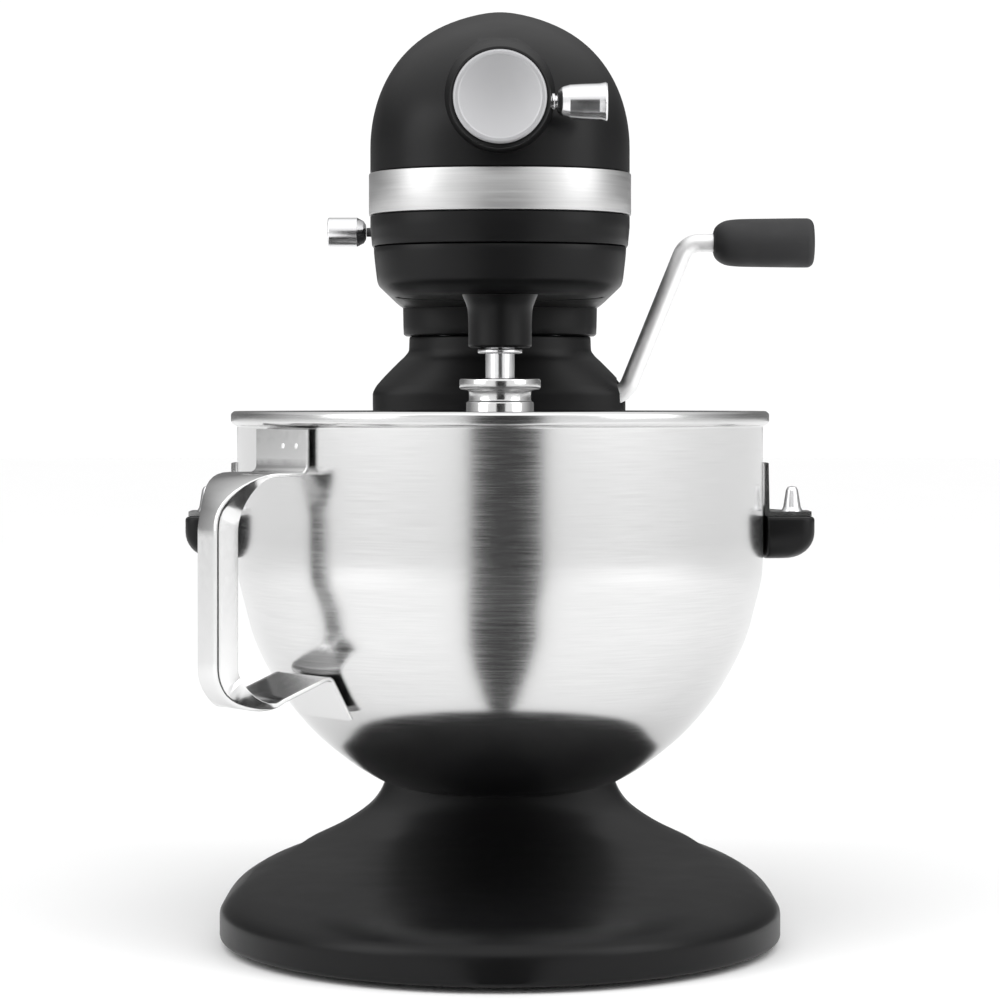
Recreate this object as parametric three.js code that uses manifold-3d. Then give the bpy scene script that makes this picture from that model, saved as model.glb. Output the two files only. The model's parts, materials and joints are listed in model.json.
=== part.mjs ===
// Bowl-lift stand mixer, in millimetres, +Z up.
// Pieces are drawn about the bowl's axis, with -Y towards the nose; one group then moves the
// whole assembly so that its origin is under the centre of its bounding box.
import * as THREE from "three";
import { mergeVertices } from "three/addons/utils/BufferGeometryUtils.js";
import Module from "manifold-3d";

const wasm = await Module();
wasm.setup();

// ---- driving dimensions ----
const GAP = 0.3; // between pieces that touch
const SMOOTH = 0.1; // edges this near to flat are merged
const BOX_CENTRE = [8.1, 55.5]; // of the bounding box, seen from the bowl's axis

const HEAD = { half: 57.2, front: -64, back: 241, domeZ: 351.6, dome: 67.6, bottom: 308.3, cover: 222, wall: 4 };
const BAND = { low: 322, high: 340.4, depth: 1, proud: 0.6 };
const CASE = { bottom: 286.5, floor: 291, top: 308, neckLow: 273 };
const COLUMN = { top: 272.7, wall: 4, window: [133, 191], windowHalf: 17 };
const HUB = { z: 368, face: -83.8, radius: 21.5, bore: 19.6, knobY: -72, knobZ: 367 };

const MODULE = 2; // of every gear
const TEETH = { ring: 42, planet: 12, centre: 38, pinion: 10, crown: 24, hub: 18, wheel: 16 };
const OFFSET = (MODULE * (TEETH.ring - TEETH.planet)) / 2; // beater shaft from the bowl's axis
const PINION = { x: 25, y: 41 }; // upright shaft, in mesh with the centre gear
const WORM = { z: 345, radius: 7 };

const BEATER = { radius: 6.35, low: 229, high: 306, collarZ: 261 };
const WHIP = { wires: 5, wire: 1.1, half: 50, low: 88, step: 2.6, top: 211.3 };

const LEVER = { y: 165, z: 243, radius: 4.5, crank: 20.2, crankPin: 3, gripZ: 319.3 };
const CRANK_REST = THREE.MathUtils.degToRad(60); // above level, pointing to the rear
const LINK_SLOT = { half: 5.2, front: 171.5, back: 189.5 };

const BOWL = { wall: 116.9, rim: 119.6, low: 68, top: 236, sheet: 1.2 };
const YOKE = { half: 139.5, inner: 118.2, low: 170.4, high: 189.2, back: 131, arms: -14 };
const PIN_X = 130.2;
const HANDLE = { angle: THREE.MathUtils.degToRad(51), out: 157, sheet: 1.6 };

// ---- materials ----
function material(colour, roughness, metalness) {
  return new THREE.MeshStandardMaterial({ color: colour, roughness, metalness });
}
const paint = () => material(0x0c0c0d, 0.45, 0.1);
const chrome = () => material(0xd8d8da, 0.12, 1);
const steel = () => material(0xc2c2c4, 0.28, 1);
const rubber = () => material(0x151515, 0.8, 0);
const castMetal = () => material(0x8c8d90, 0.5, 0.9);
const plastic = () => material(0x1c1d20, 0.55, 0);
const copper = () => material(0xa8683c, 0.4, 0.8);

// ---- solids ----
function signedVolume(points, faces) {
  const corner = faces.length / 3;
  let sum = 0;
  for (let i = 0; i < corner; i += 1) {
    const [a, b, c] = [0, 1, 2].map((k) => new THREE.Vector3().fromArray(points, faces[3 * i + k] * 3));
    sum += a.dot(b.cross(c));
  }
  return sum / 6;
}

// A closed three.js geometry as a solid, with its faces turned outwards.
function toSolid(geometry) {
  const bare = geometry.clone();
  Object.keys(bare.attributes).filter((key) => key !== "position").forEach((key) => bare.deleteAttribute(key));
  const merged = mergeVertices(bare, 1e-4);
  const points = merged.attributes.position.array;
  const index = merged.index.array;
  const faces = [];
  for (let i = 0; i < index.length; i += 3) {
    const [a, b, c] = [index[i], index[i + 1], index[i + 2]];
    if (a !== b && b !== c && c !== a) faces.push(a, b, c);
  }
  if (signedVolume(points, faces) < 0) faces.reverse();
  const mesh = new wasm.Mesh({
    numProp: 3,
    vertProperties: new Float32Array(points),
    triVerts: new Uint32Array(faces),
  });
  return new wasm.Manifold(mesh);
}

function toGeometry(solid) {
  const mesh = solid.simplify(SMOOTH).getMesh();
  const geometry = new THREE.BufferGeometry();
  geometry.setAttribute("position", new THREE.BufferAttribute(new Float32Array(mesh.vertProperties), 3));
  geometry.setIndex(new THREE.BufferAttribute(new Uint32Array(mesh.triVerts), 1));
  geometry.computeVertexNormals();
  return geometry;
}

const join = (...solids) => solids.reduce((a, b) => a.add(b));
const cut = (solid, ...tools) => tools.reduce((a, b) => a.subtract(b), solid);

function box([x0, x1], [y0, y1], [z0, z1]) {
  const geometry = new THREE.BoxGeometry(x1 - x0, y1 - y0, z1 - z0);
  return toSolid(geometry.translate((x0 + x1) / 2, (y0 + y1) / 2, (z0 + z1) / 2));
}

// Turned about Z from a closed or axis-to-axis profile of [radius, z].
function turned(profile, sides = 20) {
  const points = profile.map(([r, z]) => new THREE.Vector2(r, z));
  return toSolid(new THREE.LatheGeometry(points, sides).rotateX(Math.PI / 2));
}
const disc = (radius, low, high, sides) => turned([[0, low], [radius, low], [radius, high], [0, high]], sides);
const tubeRing = (outer, inner, low, high, sides = 20) =>
  turned([[inner, low], [outer, low], [outer, high], [inner, high], [inner, low]], sides);

const alongX = (solid) => solid.rotate([0, 90, 0]); // +Z turns to +X
const alongBack = (solid) => solid.rotate([-90, 0, 0]); // +Z turns to +Y

function prism(outline, low, high, holes = []) {
  const shape = new THREE.Shape(outline.map(([x, y]) => new THREE.Vector2(x, y)));
  holes.forEach((hole) => shape.holes.push(new THREE.Path(hole.map(([x, y]) => new THREE.Vector2(x, y)))));
  const geometry = new THREE.ExtrudeGeometry(shape, { depth: high - low, bevelEnabled: false });
  return toSolid(geometry.translate(0, 0, low));
}

// Flat end of a loft: the ring's outline, triangulated in the plane it faces.
function capFaces(ring) {
  const normal = new THREE.Vector3();
  ring.forEach((point, i) => normal.add(point.clone().cross(ring[(i + 1) % ring.length])));
  const size = [normal.x, normal.y, normal.z].map(Math.abs);
  const drop = size.indexOf(Math.max(...size));
  const [u, v] = [[1, 2], [2, 0], [0, 1]][drop];
  const flat = ring.map((point) => new THREE.Vector2(point.getComponent(u), point.getComponent(v)));
  const facing = ([a, b, c]) => new THREE.Triangle(ring[a], ring[b], ring[c]).getNormal(new THREE.Vector3());
  return THREE.ShapeUtils.triangulateShape(flat, []).map((face) =>
    facing(face).dot(normal) < 0 ? [...face].reverse() : face
  );
}

// Skin through rings that all have the same number of points.
function loft(rings) {
  const count = rings[0].length;
  const faces = [];
  for (let r = 0; r + 1 < rings.length; r += 1) {
    for (let i = 0; i < count; i += 1) {
      const [a, b] = [r * count + i, r * count + ((i + 1) % count)];
      faces.push(a, b, b + count, a, b + count, a + count);
    }
  }
  const last = (rings.length - 1) * count;
  capFaces(rings[0]).forEach(([a, b, c]) => faces.push(c, b, a));
  capFaces(rings.at(-1)).forEach(([a, b, c]) => faces.push(last + a, last + b, last + c));
  const geometry = new THREE.BufferGeometry();
  const points = rings.flat().flatMap((point) => point.toArray());
  geometry.setAttribute("position", new THREE.Float32BufferAttribute(points, 3));
  geometry.setIndex(faces);
  return toSolid(geometry);
}

// Level outline: straight sides, a rounded nose and a rounded tail.
function planRing({ z, half, front, nose, back, tail, tailPower = 2.25, nosePower = 2.25 }, sides = 24) {
  const arc = (centre, length, from, power) => {
    const bend = (value) => Math.sign(value) * Math.abs(value) ** (2 / power);
    return Array.from({ length: sides / 2 + 1 }, (_, i) => {
      const angle = from + (2 * Math.PI * i) / sides;
      return new THREE.Vector3(half * bend(Math.cos(angle)), centre + length * bend(Math.sin(angle)), z);
    });
  };
  return [...arc(back - tail, tail, 0, tailPower), ...arc(front + nose, nose, Math.PI, nosePower)];
}

// Open path through corners of [x, y, bend radius].
function roundedPath(corners, steps = 5) {
  return corners.flatMap(([x, y, radius = 0], i) => {
    const corner = new THREE.Vector2(x, y);
    if (!radius) return [corner];
    const towards = (k) => new THREE.Vector2(corners[k][0], corners[k][1]).sub(corner).normalize();
    const [before, after] = [towards(i - 1), towards(i + 1)];
    const half = Math.acos(before.dot(after)) / 2;
    const middle = before.clone().add(after).normalize().multiplyScalar(radius / Math.sin(half)).add(corner);
    const start = before.clone().multiplyScalar(radius / Math.tan(half)).add(corner);
    const turn = -Math.sign(before.cross(after)) * (Math.PI - 2 * half);
    return Array.from({ length: steps + 1 }, (_, k) => start.clone().rotateAround(middle, (turn * k) / steps));
  });
}

// Sweeps a section along a path that lies in one plane. place(point) puts a path point in space,
// side is the plane's normal, and section(share) gives [across, inwards] points there.
function sweep(path, place, side, section) {
  const points = path.map(place);
  const lengths = points.map((p, i) => (i ? p.distanceTo(points[i - 1]) : 0));
  const total = lengths.reduce((a, b) => a + b);
  let run = 0;
  return loft(points.map((point, i) => {
    run += lengths[i];
    const ahead = points[Math.min(i + 1, points.length - 1)].clone();
    const inwards = side.clone().cross(ahead.sub(points[Math.max(i - 1, 0)])).normalize();
    return section(run / total).map(([across, depth]) =>
      point.clone().addScaledVector(side, across).addScaledVector(inwards, depth)
    );
  }));
}

function roundSection(radius, sides) {
  return Array.from({ length: sides }, (_, i) => {
    const angle = (2 * Math.PI * i) / sides;
    return [radius * Math.cos(angle), radius * Math.sin(angle)];
  });
}

// ---- gears ----
// Points of a toothed outline. Teeth stand outwards, or inwards on a ring gear, with play
// between the flanks; start is the angle of the middle of one tooth.
function toothed(teeth, module, start = 0, inwards = false) {
  const pitch = (module * teeth) / 2;
  const step = (2 * Math.PI) / teeth;
  const out = inwards ? -1 : 1;
  const [tip, root] = [pitch + out * module * 0.85, pitch - out * module * 1.2];
  const corners = [[root, -0.27], [tip, -0.12], [tip, 0.12], [root, 0.27]];
  return Array.from({ length: teeth }, (_, i) => i).flatMap((i) =>
    corners.map(([radius, share]) => {
      const angle = start + (i + share) * step;
      return [radius * Math.cos(angle), radius * Math.sin(angle)];
    })
  );
}

function gear(teeth, module, start, low, high, bore) {
  return cut(prism(toothed(teeth, module, start), low, high), disc(bore, low - 1, high + 1, 24));
}

// ---- assembly ----
const mixer = new THREE.Group();
mixer.position.set(-BOX_CENTRE[0], -BOX_CENTRE[1], 0);

function part(name, solid, look, position = [0, 0, 0], rotation = [0, 0, 0]) {
  const mesh = new THREE.Mesh(toGeometry(solid), look);
  mesh.name = name;
  mesh.position.set(...position);
  mesh.rotation.set(...rotation);
  mixer.add(mesh);
}

// ---- pedestal: base and column, one hollow casting, open underneath ----
// Each row is [z, half width, front, nose length, back, tail length, tail power]; a higher
// power is a squarer tail.
const BASE_ROWS = [
  [2.5, 122, -127.5, 128, 219.5, 206, 3],
  [5, 124.5, -130, 130, 222, 208, 3],
  [14, 124.5, -130, 130, 222, 208, 2.9],
  [20, 120.6, -126, 128, 218, 206, 2.5],
  [25, 113, -110, 122, 212.5, 200, 2.3],
  [27.6, 102, -66, 100, 210.5, 168, 2.25],
  [29, 92.5, 30, 70, 209.5, 108, 2.25],
  [32, 81.5, 76, 50, 208.5, 80, 2.25],
  [40, 65.5, 102, 44, 208, 52, 2.25],
  [48, 58.8, 116, 34, 208, 42, 2.25],
  [60, 55.4, 125, 28, 208, 36, 2.25],
  [75, 55, 131, 24, 208, 32, 2.25],
  [110, 56.5, 134, 22, 208, 30, 2.25],
  [242, 63.2, 134, 24, 212, 32, 2.25],
  [247, 62, 134.4, 25, 211.8, 32, 2.25],
  [260, 50.4, 137, 29, 209, 32, 2.25],
  [264.6, 45.9, 138, 30, 208, 32, 2.25],
  [COLUMN.top, 45.2, 138, 30, 208, 32, 2.25],
];
const ROOF = 3.5;
const FEET = {
  foot_front: [0, -106],
  foot_left: [-100, -15],
  foot_right: [100, -15],
  foot_rear_left: [-68, 184],
  foot_rear_right: [68, 184],
};
const BOLTS = [[-27, 154], [27, 154], [-25, 190], [25, 190]];
const GROMMET = { x: -25, y: 208, z: 40, radius: 5.7 };

function levelRing([z, half, front, nose, back, tail, tailPower], inset = 0, drop = 0) {
  const inner = { z: z - drop, half: half - inset, front: front + inset, back: back - inset };
  return planRing({ ...inner, nose, tail, tailPower, nosePower: 2 });
}

function pedestal() {
  const outer = loft(BASE_ROWS.map((row) => levelRing(row)));
  const inside = BASE_ROWS.slice(2).map((row) => levelRing(row, COLUMN.wall, ROOF));
  const hollow = loft([levelRing([-1, ...BASE_ROWS[2].slice(1)], COLUMN.wall), ...inside]);
  const bosses = Object.values(FEET).map(([x, y]) => disc(10, 4, 24, 16).translate([x, y, 0]));
  const recess = { radius: 15.5, depth: 58 };
  const leverBoss = alongX(disc(recess.radius + COLUMN.wall, 44, 63, 28)).translate([0, LEVER.y, LEVER.z]);
  const kept = join(...bosses, leverBoss).intersect(outer);
  const window = box([-COLUMN.windowHalf, COLUMN.windowHalf], [130, 141], COLUMN.window);
  const leverHole = alongX(disc(7.3, 40, recess.depth + 1, 24)).translate([0, LEVER.y, LEVER.z]);
  const leverRecess = alongX(disc(recess.radius, recess.depth, 80, 28)).translate([0, LEVER.y, LEVER.z]);
  const cable = disc(14, COLUMN.top - 10, COLUMN.top + 1, 20).translate([0, 173, 0]);
  const boltHoles = BOLTS.map(([x, y]) => disc(3.4, COLUMN.top - 10, COLUMN.top + 1, 12).translate([x, y, 0]));
  const cordHole = alongBack(disc(GROMMET.radius + GAP, -10, 5, 16)).translate([GROMMET.x, GROMMET.y, GROMMET.z]);
  return cut(join(cut(outer, hollow), kept), window, leverHole, leverRecess, cable, cordHole, ...boltHoles);
}
part("pedestal", pedestal(), paint());

Object.entries(FEET).forEach(([name, [x, y]]) => {
  part(name, turned([[0, 0], [7.5, 0], [8.5, 1], [8.5, 3.7], [0, 3.7]], 16), rubber(), [x, y, 0]);
});

const grommetProfile = [[0, -5], [5.7, -5], [5.7, 0.3], [8.5, 0.3], [8.5, 3], [5.2, 3.5], [4.4, 11], [0, 11]];
part("cord_grommet", alongBack(turned(grommetProfile, 16)), rubber(), [GROMMET.x, GROMMET.y, GROMMET.z]);

// ---- head ----
// Upright sides below the dome; the nose and the tail draw back as the dome rises.
function headRing(z, inset = 0) {
  const skirt = Math.max(0, (317 - z) / (317 - HEAD.bottom)) * 0.8;
  const arch = Math.sqrt(1 - (Math.max(0, z - HEAD.domeZ) / (HEAD.dome - inset)) ** 2);
  return planRing({
    z,
    half: (HEAD.half - inset) * arch - skirt,
    front: HEAD.front + inset + skirt + 120 * (1 - arch),
    nose: 50,
    back: HEAD.back - inset - skirt - 60 * (1 - arch),
    tail: 46,
  });
}

const DOME_STEPS = [0, 20, 38, 54, 67, 78, 86]; // degrees up the dome's arch
function domeLevels(inset, low) {
  const level = (angle) => HEAD.domeZ + (HEAD.dome - inset) * Math.sin(THREE.MathUtils.degToRad(angle));
  return [low, ...DOME_STEPS.map(level)];
}

function headCore() {
  const levels = domeLevels(HEAD.wall, HEAD.bottom).map((z) => headRing(z, HEAD.wall));
  const below = headRing(HEAD.bottom, HEAD.wall).map((point) => point.setZ(HEAD.bottom - 2));
  return loft([below, ...levels]);
}

function headShell() {
  const [low, high] = [BAND.low - 0.2, BAND.high + 0.2];
  const skirt = [[HEAD.bottom, 0], [317, 0], [low, 0], [low, BAND.depth], [high, BAND.depth], [high, 0]];
  const dome = domeLevels(0, 346).map((z) => [z, 0]);
  const outer = loft([...skirt, ...dome].map(([z, inset]) => headRing(z, inset)));
  return cut(outer, headCore());
}

const shell = headShell();
const hubFlare = [[21.5, HUB.face], [21.5, -67], [22.6, -61], [24.8, -52], [27.6, -42], [30.6, -30]];
const hubSolid = alongBack(turned([[0, HUB.face], ...hubFlare, [32, -20], [0, -20]], 36));
const hubBoss = cut(hubSolid.translate([0, 0, HUB.z]), headCore());
const hubBore = alongBack(disc(HUB.bore, HUB.face - 2, -40, 36)).translate([0, 0, HUB.z]);
const knobHole = alongX(disc(3.1, 12, 30, 16)).translate([0, HUB.knobY, HUB.knobZ]);
const speedSlot = box([-64, -45], [16.5, 63.5], [316.4, 321.4]);
const rearHalf = box([-80, 80], [HEAD.cover, 260], [280, 440]);
part("head_housing", cut(join(shell, hubBoss), hubBore, knobHole, speedSlot, rearHalf), paint());

const SCREW_Z = 347;
function rearCover() {
  const behind = box([-80, 80], [HEAD.cover + GAP, 260], [280, 440]);
  const vents = [356, 364, 372, 380].map((z) => box([-24, 24], [215, 250], [z, z + 3]));
  const seat = join(alongBack(disc(5.2, 238.7, 245, 20)), alongBack(disc(2.6, 220, 245, 16)));
  return cut(shell.intersect(behind), seat.translate([0, 0, SCREW_Z]), ...vents);
}
part("rear_cover", rearCover(), paint());
const screwProfile = [[0, 226], [2.2, 226], [2.2, 239], [4.5, 239], [4.5, 240.2], [3.6, 240.9], [0, 240.9]];
part("rear_cover_screw", alongBack(turned(screwProfile, 16)), steel(), [0, 0, SCREW_Z]);

function trimBand() {
  const [low, high] = [BAND.low + 0.1, BAND.high - 0.1];
  const outer = loft([headRing(low, -BAND.proud), headRing(high, -BAND.proud)]);
  const inner = loft([headRing(low, 0.6).map((p) => p.setZ(low - 1)), headRing(high, 0.6).map((p) => p.setZ(high + 1))]);
  return cut(outer, inner);
}
part("trim_band", trimBand(), steel());

// ---- lower gearcase: closes the head from below and carries the neck over the column ----
function lowerGearcase() {
  const rows = [
    [CASE.bottom, 48, -52, 42, 227, 44],
    [288, 49.8, -54, 42, 229, 44],
    [291.4, 53.4, -59, 45.6, 235, 44],
    [295, 54.4, -60.6, 46, 237, 44],
    [CASE.top, 55.6, -61.6, 46, 238.4, 44],
  ];
  const neckRow = [CASE.neckLow, 48, 135, 30, 211, 32];
  const neck = loft([levelRing(neckRow), levelRing([290, ...neckRow.slice(1)])]);
  const hollow = loft([levelRing([CASE.floor, ...rows[2].slice(1)], 4), levelRing([310, ...rows[4].slice(1)], 4)]);
  const neckHollow = loft([levelRing([282, ...neckRow.slice(1)], 5), levelRing([295, ...neckRow.slice(1)], 5)]);
  const collar = tubeRing(49, 46.2, 290, 296.7, 48);
  const mouth = disc(46.2, 270, 300, 48);
  const cable = disc(14, 270, 300, 20).translate([0, 173, 0]);
  const boltHoles = BOLTS.map(([x, y]) => disc(3.4, 270, 290, 12).translate([x, y, 0]));
  const bowl = cut(join(loft(rows.map((row) => levelRing(row))), neck), hollow, neckHollow);
  return cut(join(bowl, collar), mouth, cable, ...boltHoles);
}
part("lower_gearcase", lowerGearcase(), paint());

BOLTS.forEach(([x, y], i) => {
  const profile = [[0, 262], [3, 262], [3, 282.4], [5.6, 282.4], [5.6, 288], [0, 288]];
  part(`head_bolt_${i + 1}`, turned(profile, 12), steel(), [x, y, 0]);
});

function gearcaseDeck() {
  const row = [309, 49, -50, 40, 62, 20];
  const plate = loft([levelRing(row), levelRing([313, ...row.slice(1)])]);
  const pinionBore = disc(4.4, 300, 320, 16).translate([PINION.x, PINION.y, 0]);
  return cut(plate, disc(7.4, 300, 320, 24), pinionBore);
}
part("gearcase_deck", gearcaseDeck(), castMetal());

const ringTeeth = toothed(TEETH.ring, MODULE, -Math.PI / 2 + Math.PI / TEETH.ring, true);
part("ring_gear", prism(roundSection(47.5, 36), 297, 304, [ringTeeth]), steel());

// ---- hub for attachments ----
const knobBore = alongX(disc(3.1, 12, 30, 16)).translate([0, HUB.knobY, HUB.knobZ - HUB.z]);
part("hub_sleeve", cut(alongBack(tubeRing(19.3, 17.2, -83, -52, 36)), knobBore), steel(), [0, 0, HUB.z]);

function hubDrive() {
  const wheel = prism(toothed(TEETH.hub, MODULE, 0), -27, -21);
  const socket = box([-4.8, 4.8], [-4.8, 4.8], [-70, -46]);
  return alongBack(cut(join(wheel, disc(8, -66, -26, 24)), socket));
}
part("hub_drive_gear", hubDrive(), steel(), [0, 0, HUB.z]);

function hubCap() {
  const front = -87.4;
  const face = [[0, front], [18.9, front], [19.7, front + 0.8], [19.7, HUB.face - GAP]];
  const plug = [[16.8, HUB.face - GAP], [16.8, -70], [14.5, -70], [14.5, -83], [0, -83]];
  return alongBack(turned([...face, ...plug], 28));
}
part("hub_cap", hubCap(), material(0xb9babc, 0.35, 0.8), [0, 0, HUB.z]);

const knobProfile = [
  [0, 17.5], [2.6, 17.5], [2.6, 21.7], [3.6, 22], [3.6, 23.2], [2.7, 23.5], [2.7, 24.1],
  [4.6, 24.7], [6.3, 26.6], [7.2, 29.4], [7.6, 34], [7.8, 41], [8.3, 44.8], [7.7, 45.5], [0, 45.5],
];
part("attachment_knob", alongX(turned(knobProfile, 16)), chrome(), [0, HUB.knobY, HUB.knobZ]);

// ---- motor ----
const MOTOR = { core: 26, stator: [27.5, 44], front: 95, back: 160 };
part("motor_stator", alongBack(tubeRing(MOTOR.stator[1], MOTOR.stator[0], MOTOR.front, MOTOR.back, 32)),
  copper(), [0, 0, WORM.z]);
const armatureProfile = [
  [0, 27.5], [3.6, 27.5], [3.6, 94], [5, 94], [5, 97], [MOTOR.core, 97], [MOTOR.core, 158],
  [5, 158], [5, 172], [13, 172], [13, 186], [5, 186], [5, 218], [0, 218],
];
part("armature", alongBack(turned(armatureProfile, 16)), castMetal(), [0, 0, WORM.z]);
function motorBracket(low, high) {
  const plate = box([-44, 44], [-32, 28], [low, high]);
  return alongBack(cut(plate, disc(5.6, low - 1, high + 1, 16)));
}
part("front_motor_bracket", motorBracket(80, 85), castMetal(), [0, 0, WORM.z]);
part("rear_motor_bracket", motorBracket(192, 197), castMetal(), [0, 0, WORM.z]);

function coolingFan() {
  const blades = Array.from({ length: 8 }, (_, i) => box([8, 37], [-1, 1], [201, 211]).rotate([0, 0, 45 * i]));
  const hub = join(disc(10, 200, 212, 20), disc(37, 200, 202, 32), ...blades);
  return alongBack(cut(hub, disc(5.3, 190, 220, 20)));
}
part("cooling_fan", coolingFan(), plastic(), [0, 0, WORM.z]);

function wormThread() {
  const pitch = Math.PI * MODULE;
  const teeth = Array.from({ length: 4 }, (_, i) => 29.5 + i * pitch).flatMap((y) => [
    [WORM.radius - 2.5, y], [WORM.radius, y + 1.4], [WORM.radius, y + 3], [WORM.radius - 2.5, y + 4.4],
  ]);
  const [low, high] = [teeth[0][1], teeth.at(-1)[1]];
  return alongBack(turned([[3.9, low], ...teeth, [3.9, high], [3.9, low]], 12));
}
part("worm", wormThread(), steel(), [0, 0, WORM.z]);
part("speed_board", box([14, 48], [66, 69], [318, 366]), material(0x1f5a3a, 0.6, 0));

// ---- upright shaft: worm wheel above, drive pinion below ----
const pinionAngle = Math.atan2(PINION.y, PINION.x);
const pinionStart = pinionAngle + Math.PI + Math.PI / TEETH.pinion;
const pinionTeeth = prism(toothed(TEETH.pinion, MODULE, pinionStart), 317.5, 326.5);
part("drive_pinion", join(pinionTeeth, disc(4, 307, 351, 20)), steel(), [PINION.x, PINION.y, 0]);
part("worm_wheel", gear(TEETH.wheel, MODULE, 0, 341, 349, 4.4), material(0xc8a050, 0.4, 0.9),
  [PINION.x, PINION.y, 0]);

// ---- planetary ----
function planetaryCarrier() {
  const plate = disc(45.6, CASE.bottom + 0.3, 292, 48);
  const fillet = [[0, 263.6], [12.9, 263.6], [13.8, 264.6], [13.9, 276], [14.4, 282], [16, CASE.bottom + 1], [0, CASE.bottom + 1]];
  const boss = turned(fillet, 28).translate([0, -OFFSET, 0]);
  const shaftBore = disc(BEATER.radius + 0.4, 260, 300, 20).translate([0, -OFFSET, 0]);
  return cut(join(plate, boss, disc(12, 291, 296, 28)), disc(7.3, 284, 300, 24), shaftBore);
}
part("planetary_carrier", planetaryCarrier(), paint());
const crown = prism(toothed(TEETH.crown, MODULE, 0), 341.5, 347.8);
part("centre_shaft", join(disc(7, 288, 347, 24), crown), steel());
part("centre_gear", gear(TEETH.centre, MODULE, pinionAngle, 318, 326, 7.3), steel());

const collar = BEATER.collarZ;
const shaftProfile = [
  [0, BEATER.low], [5.6, BEATER.low], [BEATER.radius, BEATER.low + 1], [BEATER.radius, collar],
  [9.7, collar], [9.7, collar + 2.2], [BEATER.radius, collar + 2.2], [BEATER.radius, 297],
  [5.2, 297], [5.2, BEATER.high], [0, BEATER.high],
];
part("beater_shaft", turned(shaftProfile, 20), chrome(), [0, -OFFSET, 0]);
part("beater_pinion", gear(TEETH.planet, MODULE, -Math.PI / 2, 297.4, 303.6, 5.5), steel(), [0, -OFFSET, 0]);

// ---- whip ----
const whipHub = [
  [6.7, 250.3], [17.2, 250.3], [17.8, 249.6], [17.8, 246], [17.2, 245.5], [13.6, 245.2], [13.6, 240.6],
  [14.8, 239.6], [14.8, 220], [16, 212], [0, 212], [0, 228.5], [6.7, 228.5],
];
part("whip_hub", turned([...whipHub, whipHub[0]], 20), steel(), [0, -OFFSET, 0]);

// One loop of the cage: down from the hub, round the bottom, and up on the other side.
function whipWire(low) {
  const side = [[11.5, WHIP.top], [15.5, 206], [36, 184], [WHIP.half, 150], [46, 118], [28, low + 8]];
  const points = [...side.map(([x, z]) => [-x, z]), [0, low], ...side.reverse()];
  const curve = new THREE.CatmullRomCurve3(points.map(([x, z]) => new THREE.Vector3(x, 0, z)));
  const place = (point) => point;
  return sweep(curve.getPoints(20), place, new THREE.Vector3(0, 1, 0), () => roundSection(WHIP.wire, 5));
}
for (let i = 0; i < WHIP.wires; i += 1) {
  const turn = (Math.PI * i) / WHIP.wires;
  part(`whip_wire_${i + 1}`, whipWire(WHIP.low + i * WHIP.step), steel(), [0, -OFFSET, 0], [0, 0, turn]);
}

// ---- speed lever ----
const SPEED = { y: 60, z: 318.9 };
const speedSlide = join(box([-51.6, -49.4], [-12, 12], [-4.5, 5]), alongX(disc(2.1, -62, -51, 12)));
part("speed_lever", speedSlide, plastic(), [0, SPEED.y, SPEED.z]);
const speedKnob = [[0, -80], [6.2, -80], [6.8, -79.3], [6.8, -66.5], [5, -63], [3.4, -62.3], [0, -62.3]];
part("speed_knob", alongX(turned(speedKnob, 24)), chrome(), [0, SPEED.y, SPEED.z]);

// ---- bowl lift lever ----
const inXZ = (y) => (point) => new THREE.Vector3(point.x, y, point.y);
const backwards = new THREE.Vector3(0, 1, 0);
const rodPath = roundedPath([[8.3, LEVER.z], [62, LEVER.z, 11], [93, LEVER.gripZ, 10], [112, LEVER.gripZ]]);
part("lever_rod", sweep(rodPath, inXZ(LEVER.y), backwards, () => roundSection(LEVER.radius, 12)), chrome());

const bushSolid = alongX(tubeRing(7, 4.9, 44.3, 50.3, 24));
part("lever_bush", bushSolid, plastic(), [0, LEVER.y, LEVER.z]);

function leverGrip() {
  const skin = [[0, 106], [6, 106.4], [9.6, 109], [11.5, 114], [11.9, 121], [12.3, 151], [11.6, 154.8], [9, 156.2]];
  const socket = [[7.6, 156.2], [7.6, 152.6], [0, 152.6]];
  return alongX(cut(turned([...skin, ...socket], 18), disc(4.9, 100, 112.4, 12)));
}
part("lever_grip", leverGrip(), rubber(), [0, LEVER.y, LEVER.gripZ]);
part("lever_end_cap", alongX(disc(7.2, 153, 154.8, 24)), plastic(), [0, LEVER.y, LEVER.gripZ]);

function leverCrank() {
  const pin = [LEVER.crank * Math.cos(CRANK_REST), LEVER.crank * Math.sin(CRANK_REST)];
  const eye = alongX(disc(7, 2, 8, 20));
  const end = alongX(disc(5.5, 2, 8, 20)).translate([0, ...pin]);
  const web = box([2, 8], [0, LEVER.crank], [-3.5, 3.5]).rotate([THREE.MathUtils.radToDeg(CRANK_REST), 0, 0]);
  const crankPin = alongX(disc(LEVER.crankPin, -10, 3, 16)).translate([0, ...pin]);
  return join(eye, end, web, crankPin);
}
part("lever_crank", leverCrank(), castMetal(), [0, LEVER.y, LEVER.z]);

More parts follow.
